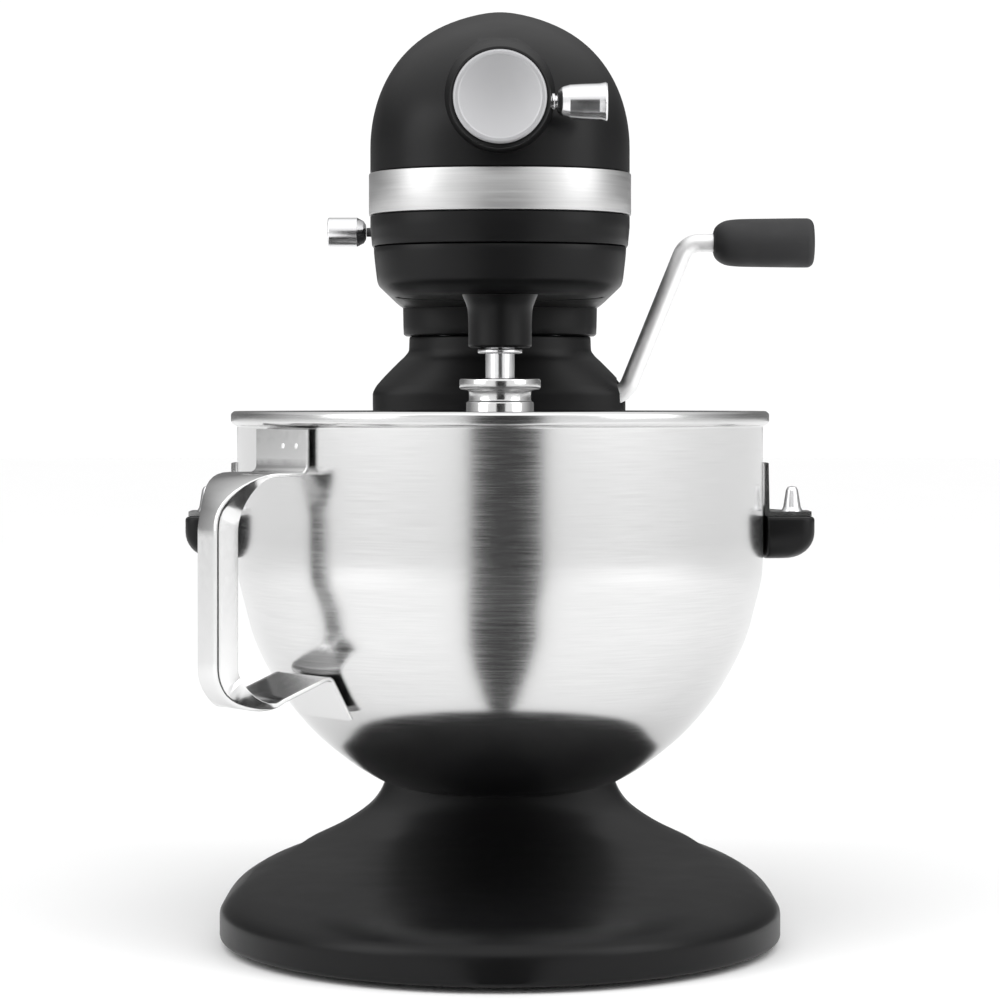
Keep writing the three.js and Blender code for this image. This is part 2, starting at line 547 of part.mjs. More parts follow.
// ---- yoke and lift carriage ----
function yokeRing(z, inset) {
  const front = YOKE.arms + inset;
  const end = [[YOKE.inner, front], [134 - inset, front], [138 - inset, front + 2], [YOKE.half - inset, front + 6]];
  const bend = (value) => Math.sign(value) * Math.abs(value) ** (2 / 3);
  const arc = Array.from({ length: 21 }, (_, i) => (Math.PI * i) / 20);
  const outer = arc.map((angle) => [
    (YOKE.half - inset) * bend(Math.cos(angle)),
    40 + (YOKE.back - 40 - inset) * bend(Math.sin(angle)),
  ]);
  const inner = arc.map((angle) => [-YOKE.inner * Math.cos(angle), YOKE.inner * Math.sin(angle)]);
  const mirrored = end.map(([x, y]) => [-x, y]).reverse();
  return [...end, ...outer, ...mirrored, ...inner].map(([x, y]) => new THREE.Vector3(x, y, z));
}

function bowlYoke() {
  const edge = [[YOKE.low, 8], [171.6, 5], [173.6, 2.6], [177, 0.8], [181, 0], [187.8, 0], [YOKE.high, 1.4]];
  const arms = loft(edge.map(([z, inset]) => yokeRing(z, inset)));
  const plate = box([-36, 36], [124, 130], [180, 222]);
  const tongue = box([-15, 15], [126, 141.7], [172, 187]);
  const pinSlot = box([-4.5, 4.5], [120, 135], [198, 230]);
  return cut(join(arms, plate, tongue), pinSlot);
}
part("bowl_yoke", bowlYoke(), paint());

const pinProfile = [[0, 189.5], [4.75, 189.5], [4.75, 192], [2.9, 200.6], [2.1, 202], [0, 202.5]];
part("locating_pin_left", turned(pinProfile, 20), chrome(), [-PIN_X, 0, 0]);
part("locating_pin_right", turned(pinProfile, 20), chrome(), [PIN_X, 0, 0]);

function liftCarriage() {
  const slotZ = LEVER.z + LEVER.crank * Math.sin(CRANK_REST);
  const plate = box([-28, 28], [142, 147], [150, 215]);
  const mast = box([-8, -2], [146, 156], [170, 268]);
  const eye = box([-8, -2], [146, 194], [slotZ - 8.2, slotZ + 8.2]);
  const slot = box([-10, 0], [LINK_SLOT.front, LINK_SLOT.back], [slotZ - LINK_SLOT.half, slotZ + LINK_SLOT.half]);
  return cut(join(plate, mast, eye), slot);
}
part("lift_carriage", liftCarriage(), castMetal());
part("bowl_clip", box([-9, 9], [130.4, 131.4], [192, 221]), steel());

// ---- bowl ----
// Outside of the sheet, from the flat bottom to the straight wall.
const BOWL_CURVE = [
  [36, 68], [43, 69.2], [50.8, 71.4], [60, 76.4], [68.2, 82], [81.2, 92.8], [93.7, 107], [102.6, 121.4],
  [109.3, 135.6], [113.3, 150], [116.9, 166],
];
function bowlSolid() {
  const { wall, rim, top, sheet } = BOWL;
  const bead = [[wall, 228], [wall + 0.6, 229.8], [rim, 231], [rim, 234.6], [rim - 1.4, top], [wall - 0.2, top]];
  const inner = BOWL_CURVE.map(([r, z]) => [r - sheet * (z > 100 ? 1 : 0.7), z + sheet * (z > 100 ? 0.3 : 1)]);
  const inside = [[wall - sheet, top - 1], [wall - sheet, 168], ...inner.filter((_, i) => i % 2 === 1).reverse()];
  return turned([[0, BOWL.low], ...BOWL_CURVE, ...bead, ...inside, [0, BOWL.low + sheet]], 36);
}
part("bowl", bowlSolid(), steel());

// The strap stands in the plane that holds the bowl's axis; the path is its outer face.
function bowlHandle() {
  const outwards = new THREE.Vector3(-Math.sin(HANDLE.angle), -Math.cos(HANDLE.angle), 0);
  const side = new THREE.Vector3(0, 0, 1).cross(outwards);
  const place = (point) => outwards.clone().multiplyScalar(point.x).setZ(point.y);
  const path = roundedPath([
    [119, 228.5], [119, 220], [119, 210.4, 3], [132, 210.4], [HANDLE.out, 210.4, 24], [HANDLE.out, 160],
    [HANDLE.out, 100, 20], [130, 115], [106.6, 123.4, 2.4], [96.2, 105.4],
  ]);
  const ease = (share, from, to) => THREE.MathUtils.smoothstep(share, from, to);
  const section = (share) => {
    const grip = ease(share, 0.16, 0.3) * (1 - ease(share, 0.66, 0.78));
    const half = THREE.MathUtils.lerp(18.5, 7.8, grip);
    const flange = THREE.MathUtils.lerp(HANDLE.sheet + 0.05, 11, grip);
    const web = HANDLE.sheet;
    return [
      [-half, 0], [half, 0], [half, flange], [half - web, flange], [half - web, web],
      [web - half, web], [web - half, flange], [-half, flange],
    ];
  };
  return sweep(path, place, side, section);
}
part("bowl_handle", bowlHandle(), steel());

function bowlBracket() {
  const leg = box([117.4, 119], [-9, 9], [189.5, 213]);
  const tab = box([117.4, 138], [-11, 11], [189.5, 191.5]);
  return cut(join(leg, tab), disc(5.4, 180, 200, 20).translate([PIN_X, 0, 0]));
}
part("bowl_bracket_right", bowlBracket(), steel());
part("bowl_bracket_left", bowlBracket(), steel(), [0, 0, 0], [0, 0, Math.PI]);
const rearPin = [[0, 117.3], [3.5, 117.3], [3.5, 125.6], [2.4, 127], [0, 127]];
part("bowl_rear_pin", alongBack(turned(rearPin, 16)), steel(), [0, 0, 203]);

export default mixer;
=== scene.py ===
"""Bowl-lift stand mixer: fine meshes, materials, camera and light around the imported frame.

Lengths in the making functions are millimetres from the bowl's axis (x, y) and the floor (z),
with -y towards the nose. at() turns them into the frame's metres.
"""
import json
import math

import bmesh
import bpy
from mathutils import Matrix, Vector


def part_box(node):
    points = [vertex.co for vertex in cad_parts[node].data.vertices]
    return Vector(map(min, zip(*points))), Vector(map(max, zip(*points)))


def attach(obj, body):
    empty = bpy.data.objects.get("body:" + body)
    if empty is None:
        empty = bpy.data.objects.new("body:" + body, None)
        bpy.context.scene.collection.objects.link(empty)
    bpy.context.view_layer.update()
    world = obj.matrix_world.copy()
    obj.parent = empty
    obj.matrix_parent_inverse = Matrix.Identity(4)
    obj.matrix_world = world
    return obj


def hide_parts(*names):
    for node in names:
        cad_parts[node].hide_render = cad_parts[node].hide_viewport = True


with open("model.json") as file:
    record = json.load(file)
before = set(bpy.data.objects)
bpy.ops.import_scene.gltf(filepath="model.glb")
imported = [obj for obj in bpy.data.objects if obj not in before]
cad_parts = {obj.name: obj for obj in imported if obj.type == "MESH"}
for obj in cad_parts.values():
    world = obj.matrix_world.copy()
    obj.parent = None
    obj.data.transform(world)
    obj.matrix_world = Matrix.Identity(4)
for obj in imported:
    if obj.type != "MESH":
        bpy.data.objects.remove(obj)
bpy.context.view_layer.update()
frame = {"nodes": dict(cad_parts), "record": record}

MM = 0.001
BOWL_LOW, BOWL_HIGH = (Vector(corner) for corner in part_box("bowl"))
AXIS = Vector(((BOWL_LOW.x + BOWL_HIGH.x) / 2, (BOWL_LOW.y + BOWL_HIGH.y) / 2, 0))


def at(x, y, z):
    """A point in millimetres about the bowl's axis, in the frame's metres."""
    return AXIS + Vector((x, y, z)) * MM


def span(node):
    """Lowest and highest corner of a CAD node, in millimetres about the bowl's axis."""
    return [(Vector(corner) - AXIS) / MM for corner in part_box(node)]


# ---------------------------------------------------------------- materials
NOISE_LOW, NOISE_HIGH = 0.3, 0.7  # most of a noise texture lies between these
BRUSH_AROUND = 0.003  # texture metres for each radian round the bowl: it draws the strokes out


def ranged(tree, source, from_low, from_high, to_low, to_high):
    """A node's output that maps source from one range on to another and stops at its ends."""
    node = tree.nodes.new("ShaderNodeMapRange")
    values = (from_low, from_high, to_low, to_high)
    for socket, value in zip(("From Min", "From Max", "To Min", "To Max"), values):
        node.inputs[socket].default_value = value
    tree.links.new(source, node.inputs["Value"])
    return node.outputs[0]


class Look:
    """A material under construction: its nodes, links and Principled shader."""

    def __init__(self, name, colour, roughness, metallic=0.0):
        self.material = bpy.data.materials.new(name)
        self.material.use_nodes = True
        self.tree = self.material.node_tree
        self.shader = self.tree.nodes["Principled BSDF"]
        self.set(**{"Base Color": (*colour, 1), "Roughness": roughness, "Metallic": metallic})
        self.coordinates = self.tree.nodes.new("ShaderNodeTexCoord").outputs["Object"]

    def set(self, **values):
        for socket, value in values.items():
            self.shader.inputs[socket].default_value = value

    def link(self, source, target):
        self.tree.links.new(source, target)

    def math(self, operation, first, second):
        node = self.tree.nodes.new("ShaderNodeMath")
        node.operation = operation
        for socket, value in zip(node.inputs, (first, second)):
            if isinstance(value, (int, float)):
                socket.default_value = value
            else:
                self.link(value, socket)
        return node.outputs[0]

    def noise(self, scale, stretch=(1, 1, 1), detail=2.0, vector=None):
        """Noise of that scale per metre, stretched along the frame's axes."""
        mapping = self.tree.nodes.new("ShaderNodeMapping")
        mapping.inputs["Scale"].default_value = stretch
        self.link(vector or self.coordinates, mapping.inputs["Vector"])
        noise = self.tree.nodes.new("ShaderNodeTexNoise")
        noise.inputs["Scale"].default_value = scale
        noise.inputs["Detail"].default_value = detail
        self.link(mapping.outputs[0], noise.inputs["Vector"])
        return noise.outputs["Fac"]

    def spread(self, source, low, high):
        """A noise's usual range on to low to high."""
        return ranged(self.tree, source, NOISE_LOW, NOISE_HIGH, low, high)

    def vary_roughness(self, source, low, high):
        self.link(self.spread(source, low, high), self.shader.inputs["Roughness"])

    def vary_colour(self, source, dark, light):
        ramp = self.tree.nodes.new("ShaderNodeValToRGB")
        first, last = ramp.color_ramp.elements
        first.position, last.position = NOISE_LOW, NOISE_HIGH
        first.color, last.color = (*dark, 1), (*light, 1)
        self.link(source, ramp.inputs["Fac"])
        self.link(ramp.outputs["Color"], self.shader.inputs["Base Color"])

    def bump(self, source, height, strength=1.0):
        """A relief of that height in metres."""
        node = self.tree.nodes.new("ShaderNodeBump")
        node.inputs["Distance"].default_value = height
        node.inputs["Strength"].default_value = strength
        self.link(source, node.inputs["Height"])
        self.link(node.outputs["Normal"], self.shader.inputs["Normal"])

    def brushed_round(self, axis, amount):
        """Anisotropic reflection from brushing round the piece's own middle axis."""
        tangent = self.tree.nodes.new("ShaderNodeTangent")
        tangent.direction_type = "RADIAL"
        tangent.axis = axis
        self.link(tangent.outputs[0], self.shader.inputs["Tangent"])
        self.set(Anisotropic=amount)


def black_paint():
    look = Look("black_paint", (0.004, 0.004, 0.0043), 0.36)
    look.vary_roughness(look.noise(45), 0.34, 0.38)
    look.bump(look.noise(1400, detail=3), 0.00002, 0.3)
    look.set(**{"Specular IOR Level": 0.2})
    return look.material


def black_rubber():
    look = Look("black_rubber", (0.022, 0.022, 0.023), 0.6)
    look.vary_roughness(look.noise(90), 0.52, 0.66)
    look.bump(look.noise(2200, detail=4), 0.00003, 0.5)
    look.set(**{"Specular IOR Level": 0.4})
    return look.material


def black_plastic():
    look = Look("black_plastic", (0.03, 0.03, 0.032), 0.5)
    look.vary_roughness(look.noise(160), 0.45, 0.56)
    look.bump(look.noise(1800), 0.00002, 0.4)
    return look.material


def chrome():
    look = Look("chrome", (0.8, 0.8, 0.81), 0.2, 1)
    look.vary_roughness(look.noise(120, detail=3), 0.17, 0.24)
    return look.material


def satin_rod():
    look = Look("satin_rod", (0.9, 0.9, 0.9), 0.5, 1)
    look.vary_roughness(look.noise(300, detail=4), 0.45, 0.55)
    look.bump(look.noise(700, detail=3), 0.000006, 0.4)
    return look.material


def polar(look):
    """Texture coordinates that run round the bowl's axis: angle, radius and height."""
    split = look.tree.nodes.new("ShaderNodeSeparateXYZ")
    shift = look.tree.nodes.new("ShaderNodeVectorMath")
    shift.operation = "SUBTRACT"
    shift.inputs[1].default_value = AXIS
    look.link(look.coordinates, shift.inputs[0])
    look.link(shift.outputs[0], split.inputs[0])
    x, y, z = split.outputs
    angle = look.math("ARCTAN2", y, x)
    squares = look.math("ADD", look.math("MULTIPLY", x, x), look.math("MULTIPLY", y, y))
    radius = look.math("SQRT", squares, 0)
    combine = look.tree.nodes.new("ShaderNodeCombineXYZ")
    look.link(look.math("MULTIPLY", angle, BRUSH_AROUND), combine.inputs[0])
    look.link(radius, combine.inputs[1])
    look.link(z, combine.inputs[2])
    return combine.outputs[0]


def bowl_steel():
    look = Look("bowl_steel", (0.68, 0.68, 0.68), 0.18, 1)
    strokes = look.noise(1700, stretch=(1, 0.8, 1), detail=4, vector=polar(look))
    look.vary_roughness(strokes, 0.15, 0.22)
    look.vary_colour(strokes, (0.64, 0.64, 0.64), (0.71, 0.71, 0.71))
    look.bump(strokes, 0.000003, 0.5)
    look.brushed_round("Z", 0.5)
    return look.material


def handle_steel():
    look = Look("handle_steel", (0.74, 0.74, 0.74), 0.16, 1)
    look.vary_roughness(look.noise(260, detail=4), 0.12, 0.2)
    look.bump(look.noise(900, stretch=(1, 1, 0.1), detail=3), 0.000004, 0.4)
    return look.material


def brushed_band():
    look = Look("brushed_band", (0.58, 0.58, 0.58), 0.42, 1)
    strokes = look.noise(900, stretch=(0.03, 0.03, 1), detail=5)
    look.vary_roughness(strokes, 0.38, 0.46)
    look.vary_colour(strokes, (0.53, 0.53, 0.53), (0.61, 0.61, 0.61))
    look.bump(strokes, 0.000004, 0.4)
    return look.material


def satin_cap():
    look = Look("satin_cap", (0.49, 0.49, 0.5), 0.6, 1)
    grain = look.noise(2600, detail=3)
    look.vary_roughness(look.noise(60), 0.57, 0.63)
    look.bump(grain, 0.000004, 0.4)
    return look.material


def machined(name, colour, roughness, metallic=1.0, scale=500, height=0.00001):
    """A plain technical surface with fine grain, for what is inside."""
    look = Look(name, colour, roughness, metallic)
    grain = look.noise(scale, detail=4)
    dark = tuple(0.85 * channel for channel in colour)
    look.vary_colour(grain, dark, colour)
    look.vary_roughness(grain, roughness - 0.06, roughness + 0.06)
    look.bump(grain, height, 0.6)
    return look.material


LOOKS = {
    "black_paint": black_paint(),
    "black_rubber": black_rubber(),
    "black_plastic": black_plastic(),
    "brushed_band": brushed_band(),
    "satin_cap": satin_cap(),
    "chrome": chrome(),
    "bowl_steel": bowl_steel(),
    "handle_steel": handle_steel(),
    "satin_rod": satin_rod(),
    "gear_steel": machined("gear_steel", (0.5, 0.5, 0.52), 0.3),
    "cast_aluminium": machined("cast_aluminium", (0.45, 0.45, 0.46), 0.5, scale=250, height=0.00005),
    "bronze": machined("bronze", (0.6, 0.42, 0.2), 0.34),
    "copper_winding": machined("copper_winding", (0.5, 0.22, 0.1), 0.42, scale=900, height=0.00006),
    "circuit_board": machined("circuit_board", (0.02, 0.12, 0.06), 0.45, metallic=0.0),
}
SLOT_OF = {part["node"]: part["material_slot"] for part in frame["record"]["subparts"]}
BODY_OF = {
    node: body for body, nodes in frame["record"]["behaviour"]["bodies"].items() for node in nodes
}
# Nodes that no piece below replaces are shown as they were packed, in these looks.
for node, piece in frame["nodes"].items():
    piece.data.materials.clear()
    piece.data.materials.append(LOOKS[SLOT_OF[node]])


# ---------------------------------------------------------------- mesh tools
JOIN_DISTANCE = 1e-6  # metres


def clean(mesh):
    """Joins doubled points and turns the faces outwards."""
    builder = bmesh.new()
    builder.from_mesh(mesh)
    bmesh.ops.remove_doubles(builder, verts=builder.verts, dist=JOIN_DISTANCE)
    bmesh.ops.recalc_face_normals(builder, faces=builder.faces)
    builder.to_mesh(mesh)
    builder.free()


def mesh_of(name, points, faces):
    """A mesh from points in millimetres about the bowl's axis."""
    mesh = bpy.data.meshes.new(name)
    mesh.from_pydata([at(*point) for point in points], [], faces)
    return mesh


def make_piece(name, points, faces, node, look=None, crisp=38):
    """A piece from points and faces that stands for a CAD node and rides on its body."""
    return finish_piece(name, mesh_of(name, points, faces), node, look, crisp)


def finish_piece(name, mesh, node, look=None, crisp=38):
    """A piece from a mesh. Edges that turn by more than crisp degrees are drawn sharp."""
    clean(mesh)
    mesh.shade_smooth()
    mesh.set_sharp_from_angle(angle=math.radians(crisp))
    mesh.materials.clear()
    mesh.materials.append(LOOKS[look or SLOT_OF[node]])
    piece = bpy.data.objects.new(name, mesh)
    bpy.context.scene.collection.objects.link(piece)
    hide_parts(node)
    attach(piece, BODY_OF[node])
    return piece


def rounded(corners, steps=5, closed=False):
    """An outline through (x, y, bend radius) corners, with the bends as arcs."""
    points = []
    count = len(corners)
    for i, corner in enumerate(corners):
        here = Vector(corner[:2])
        radius = corner[2] if len(corner) > 2 else 0
        if not radius or (not closed and i in (0, count - 1)):
            points.append(tuple(here))
            continue
        before = (Vector(corners[i - 1][:2]) - here).normalized()
        after = (Vector(corners[(i + 1) % count][:2]) - here).normalized()
        half = before.angle(after) / 2
        if half > math.radians(89.5):
            points.append(tuple(here))
            continue
        middle = here + (before + after).normalized() * radius / math.sin(half)
        start = here + before * radius / math.tan(half) - middle
        turn = math.copysign(math.pi - 2 * half, -before.cross(after))
        for k in range(steps + 1):
            points.append(tuple(middle + Matrix.Rotation(turn * k / steps, 2) @ start))
    return points


def curve_through(points, steps):
    """A smooth open outline through points, steps spans between each two."""
    padded = [points[0], *points, points[-1]]
    smooth = []
    for a, b, c, d in zip(padded, padded[1:], padded[2:], padded[3:]):
        for k in range(steps):
            t = k / steps
            smooth.append(tuple(
                0.5 * (2 * q + (r - p) * t
                       + (2 * p - 5 * q + 4 * r - s) * t**2
                       + (3 * q - p - 3 * r + s) * t**3)
                for p, q, r, s in zip(a, b, c, d)
            ))
    return [*smooth, tuple(points[-1])]


def skin(rings, closed_ends=True):
    """Points and faces of a skin through rings that all have the same number of points."""
    count = len(rings[0])
    faces = []
    for r in range(len(rings) - 1):
        for i in range(count):
            a, b = r * count + i, r * count + (i + 1) % count
            faces.append((a, b, b + count, a + count))
    if closed_ends:
        faces.append(tuple(range(count))[::-1])
        faces.append(tuple((len(rings) - 1) * count + i for i in range(count)))
    return [point for ring in rings for point in ring], faces


# Where a point at radius r and height h lies, for each axis that a piece turns about.
TURN_AXES = {
    "z": lambda r, h, c, s: (r * c, r * s, h),
    "x": lambda r, h, c, s: (h, r * c, r * s),
    "y": lambda r, h, c, s: (r * s, h, r * c),
}


def turned_rings(outline, centre, axis, sides):
    """Rings about an axis through centre, from (radius, height) points."""
    place = TURN_AXES[axis]
    rings = []
    for radius, height in outline:
        ring = []
        for i in range(sides):
            angle = 2 * math.pi * i / sides
            offset = place(radius, height, math.cos(angle), math.sin(angle))
            ring.append(tuple(c + o for c, o in zip(centre, offset)))
        rings.append(ring)
    return rings


def turned(name, outline, node, centre, axis="z", sides=64, closed=False, **finish):
    """A turned piece. A closed outline goes round a hole in the middle."""
    rings = turned_rings(outline, centre, axis, sides)
    if closed:
        rings.append(rings[0])
    points, faces = skin(rings, closed_ends=False)
    return make_piece(name, points, faces, node, **finish)


def swept(path, place, side, section):
    """Points and faces of a section swept along a path in one plane.

    side is the plane's normal, and section(share) gives (across, inwards) points at that share
    of the length.
    """
    points = [Vector(place(*point)) for point in path]
    lengths = [0.0]
    for a, b in zip(points, points[1:]):
        lengths.append(lengths[-1] + (b - a).length)
    rings = []
    last = len(points) - 1
    for i, point in enumerate(points):
        ahead = points[min(i + 1, last)] - points[max(i - 1, 0)]
        inwards = side.cross(ahead).normalized()
        share = lengths[i] / lengths[-1]
        rings.append([tuple(point + side * across + inwards * depth) for across, depth in section(share)])
    return skin(rings)


def round_section(radius, sides):
    corners = [2 * math.pi * i / sides for i in range(sides)]
    return [(radius * math.cos(angle), radius * math.sin(angle)) for angle in corners]


def plan_ring(z, half, front, nose, back, tail, tail_power=2.25, nose_power=2.25, sides=120):
    """A level outline with straight sides, a rounded nose and a rounded tail.

    Each end is a superellipse: power 2 is an ellipse, and a higher power is squarer.
    """
    ring = []
    for centre, length, start, power in (
        (back - tail, tail, 0.0, tail_power), (front + nose, nose, math.pi, nose_power)
    ):
        for i in range(sides // 2 + 1):
            angle = start + 2 * math.pi * i / sides
            across, along = (
                math.copysign(abs(v) ** (2 / power), v) for v in (math.cos(angle), math.sin(angle))
            )
            ring.append((half * across, centre + length * along, z))
    return ring


def eased_rows(rows, steps):
    """Rows of numbers joined smoothly, with no overshoot between them (monotone cubics)."""
    marks = [0.0]
    for a, b in zip(rows, rows[1:]):
        marks.append(marks[-1] + math.dist(a, b))
    columns = []
    for column in zip(*rows):
        slopes = [(b - a) / (u - t) for a, b, t, u in zip(column, column[1:], marks, marks[1:])]
        tangents = [slopes[0]]
        for left, right in zip(slopes, slopes[1:]):
            tangents.append(0.0 if left * right <= 0 else 2 * left * right / (left + right))
        tangents.append(slopes[-1])
        fine = []
        for i in range(len(column) - 1):
            width = marks[i + 1] - marks[i]
            for k in range(steps):
                t = k / steps
                fine.append(
                    (1 + 2 * t) * (1 - t) ** 2 * column[i] + t * (1 - t) ** 2 * width * tangents[i]
                    + t**2 * (3 - 2 * t) * column[i + 1] + t**2 * (t - 1) * width * tangents[i + 1]
                )
        columns.append([*fine, column[-1]])
    return list(zip(*columns))


def solid(points, faces):
    """A temporary solid, to be joined and cut before it becomes a piece."""
    mesh = mesh_of("solid", points, faces)
    clean(mesh)
    thing = bpy.data.objects.new("solid", mesh)
    bpy.context.scene.collection.objects.link(thing)
    return thing


def turned_solid(outline, centre, axis="z", sides=48):
    return solid(*skin(turned_rings(outline, centre, axis, sides), closed_ends=False))


def rod(radius, low, high, centre, axis="z", sides=48):
    """A plain cylinder between two heights along its axis."""
    return turned_solid([(0, low), (radius, low), (radius, high), (0, high)], centre, axis, sides)


def block(low, high, edge=0.0, axis="y"):
    """A box, with its four edges along axis rounded to that radius."""
    a, b = {"x": (1, 2), "y": (0, 2), "z": (0, 1)}[axis]
    depth = "xyz".index(axis)
    corners = [
        (low[a], low[b], edge), (high[a], low[b], edge), (high[a], high[b], edge), (low[a], high[b], edge),
    ]
    rings = []
    for level in (low[depth], high[depth]):
        ring = []
        for u, v in rounded(corners, 6, closed=True):
            point = [0.0, 0.0, 0.0]
            point[a], point[b], point[depth] = u, v, level
            ring.append(tuple(point))
        rings.append(ring)
    return solid(*skin(rings))


def carve(base, operation, *tools):
    """Joins tools to base (UNION), cuts them from it (DIFFERENCE) or keeps what they share."""
    for tool in tools:
        modifier = base.modifiers.new("carve", "BOOLEAN")
        modifier.operation, modifier.solver, modifier.object = operation, "EXACT", tool
        shaped = base.evaluated_get(bpy.context.evaluated_depsgraph_get())
        mesh = bpy.data.meshes.new_from_object(shaped)
        base.modifiers.clear()
        base.data = mesh
        bpy.data.objects.remove(tool)
    return base


def as_piece(thing, name, node, **finish):
    mesh = thing.data
    bpy.data.objects.remove(thing)
    mesh.name = name
    return finish_piece(name, mesh, node, **finish)


# ---------------------------------------------------------------- pedestal
LEVER_Y, LEVER_Z = 165, 243
CABLE_Y, CABLE_RADIUS = 173, 14
# z, half width, front, nose length, back, tail length, tail power
PEDESTAL_ROWS = [
    (2.5, 122, -127.5, 128, 219.5, 206, 3),
    (3.3, 123.8, -129.3, 129.4, 221.3, 207.4, 3),
    (5, 124.5, -130, 130, 222, 208, 3),
    (14, 124.5, -130, 130, 222, 208, 2.9),
    (20, 120.6, -126, 128, 218, 206, 2.5),
    (25, 113, -110, 122, 212.5, 200, 2.3),
    (27.6, 102, -66, 100, 210.5, 168, 2.25),
    (29, 92.5, 30, 70, 209.5, 108, 2.25),
    (32, 81.5, 76, 50, 208.5, 80, 2.25),
    (40, 65.5, 102, 44, 208, 52, 2.25),
    (48, 58.8, 116, 34, 208, 42, 2.25),
    (60, 55.4, 125, 28, 208, 36, 2.25),
    (75, 55, 131, 24, 208, 32, 2.25),
    (110, 56.5, 134, 22, 208, 30, 2.25),
    (239, 63.2, 134, 24, 212, 32, 2.25),
    (243.6, 63.2, 134, 24, 212, 32, 2.25),
    (247, 62, 134.4, 25, 211.8, 32, 2.25),
    (250, 59.8, 135, 26, 211.2, 32, 2.25),
    (260, 50.4, 137, 29, 209, 32, 2.25),
    (263.4, 47, 137.8, 29.8, 208.3, 32, 2.25),
    (266, 45.5, 138, 30, 208, 32, 2.25),
    (272, 45.2, 138, 30, 208, 32, 2.25),
    (272.7, 44.6, 138.6, 30, 207.4, 32, 2.25),
]
PEDESTAL_WALL = 4
PEDESTAL_ROOF = 3.5


def cable_way(low, high):
    """The passage for the wires between the column and the head."""
    return rod(CABLE_RADIUS, low, high, (0, CABLE_Y, 0))


def pedestal():
    rows = eased_rows(PEDESTAL_ROWS, 5)
    wall = PEDESTAL_WALL
    inner = [
        (z - PEDESTAL_ROOF, half - wall, front + wall, nose, back - wall, tail, power)
        for z, half, front, nose, back, tail, power in eased_rows(PEDESTAL_ROWS[3:], 2)
    ]
    inner.insert(0, (PEDESTAL_ROWS[0][0], *inner[0][1:]))
    body = solid(*skin([plan_ring(*row, nose_power=2) for row in [*inner[::-1], *rows]]))
    envelope = solid(*skin([plan_ring(*row, nose_power=2) for row in rows]))
    recess = (0, LEVER_Y, LEVER_Z)
    boss = rod(19.5, 44, 70, recess, "x")
    carve(boss, "INTERSECT", envelope)
    cup = turned_solid(
        [(0, 58), (14.5, 58), (15.5, 59), (15.5, 62), (16.5, 64), (16.5, 80), (0, 80)], recess, "x"
    )
    bore = rod(7.3, 40, 60, recess, "x")
    window = block((-17, 128, 133), (17, 141, 191), edge=5, axis="y")
    cord_low, cord_high = span("cord_grommet")
    cord = ((cord_low.x + cord_high.x) / 2, 0, (cord_low.z + cord_high.z) / 2)
    cord_hole = rod(6, 195, 215, cord, "y", 32)
    carve(body, "UNION", boss)
    carve(body, "DIFFERENCE", cup, bore, window, cord_hole, cable_way(260, 280))
    as_piece(body, "pedestal_casting", "pedestal")


pedestal()


def feet():
    outline = rounded([(0, 0), (7.6, 0, 1), (8.5, 1.6, 0.6), (8.5, 3.7), (0, 3.7)], 4)
    for node in ("foot_front", "foot_left", "foot_right", "foot_rear_left", "foot_rear_right"):
        low, high = span(node)
        turned(f"{node}_pad", outline, node, ((low.x + high.x) / 2, (low.y + high.y) / 2, 0), sides=40)


feet()


def grommet():
    low, high = span("cord_grommet")
    centre = ((low.x + high.x) / 2, low.y + 5, (low.z + high.z) / 2)
    ribs = []
    for i in range(4):
        ribs.extend([(5.2 - 0.1 * i, 4 + 1.8 * i, 0.3), (4.6 - 0.1 * i, 5 + 1.8 * i, 0.3)])
    outline = rounded([
        (0, -5), (5.7, -5, 0.4), (5.7, 0.3), (8.5, 0.3, 0.8), (8.5, 3, 1), *ribs,
        (4.4, 11, 0.5), (3.2, 11, 0.4), (3.2, 7), (0, 7),
    ], 3)
    turned("cord_grommet_boot", outline, "cord_grommet", centre, axis="y", sides=36)


grommet()

# ---------------------------------------------------------------- head
# spring is where the dome starts, dome its rise, and cover the joint to the rear cover.
HEAD = {
    "half": 57.2, "front": -64, "nose": 50, "back": 241, "tail": 46,
    "bottom": 308.3, "spring": 351.6, "dome": 67.6, "cover": 222,
}
HEAD_WALL = 4
COVER_GAP = 0.3
SKIRT_TOP, SKIRT_IN = 317, 0.8
NOSE_DRAW, TAIL_DRAW = 120, 60
HUB_Z = 368
HUB_FACE = -83.8
KNOB_Y, KNOB_Z = -72, 367
SPEED_Y, SPEED_Z = 60, 318.9
SCREW_Z = 347
BAND_LOW, BAND_HIGH = 322.1, 340.3


def head_ring(z, inset=0.0, sides=120):
    """The head's outline at a level: upright sides under a dome whose nose and tail draw back."""
    skirt = max(0.0, (SKIRT_TOP - z) / (SKIRT_TOP - HEAD["bottom"])) * SKIRT_IN
    arch = math.sqrt(1 - (max(0.0, z - HEAD["spring"]) / (HEAD["dome"] - inset)) ** 2)
    half = (HEAD["half"] - inset) * arch - skirt
    front = HEAD["front"] + inset + skirt + NOSE_DRAW * (1 - arch)
    back = HEAD["back"] - inset - skirt - TAIL_DRAW * (1 - arch)
    return plan_ring(z, half, front, HEAD["nose"], back, HEAD["tail"], sides=sides)


def dome_levels(inset, step):
    """Levels up the dome, step degrees apart round its arch."""
    height = HEAD["dome"] - inset
    angles = (*range(0, 86, step), 87)
    return [HEAD["spring"] + height * math.sin(math.radians(angle)) for angle in angles]


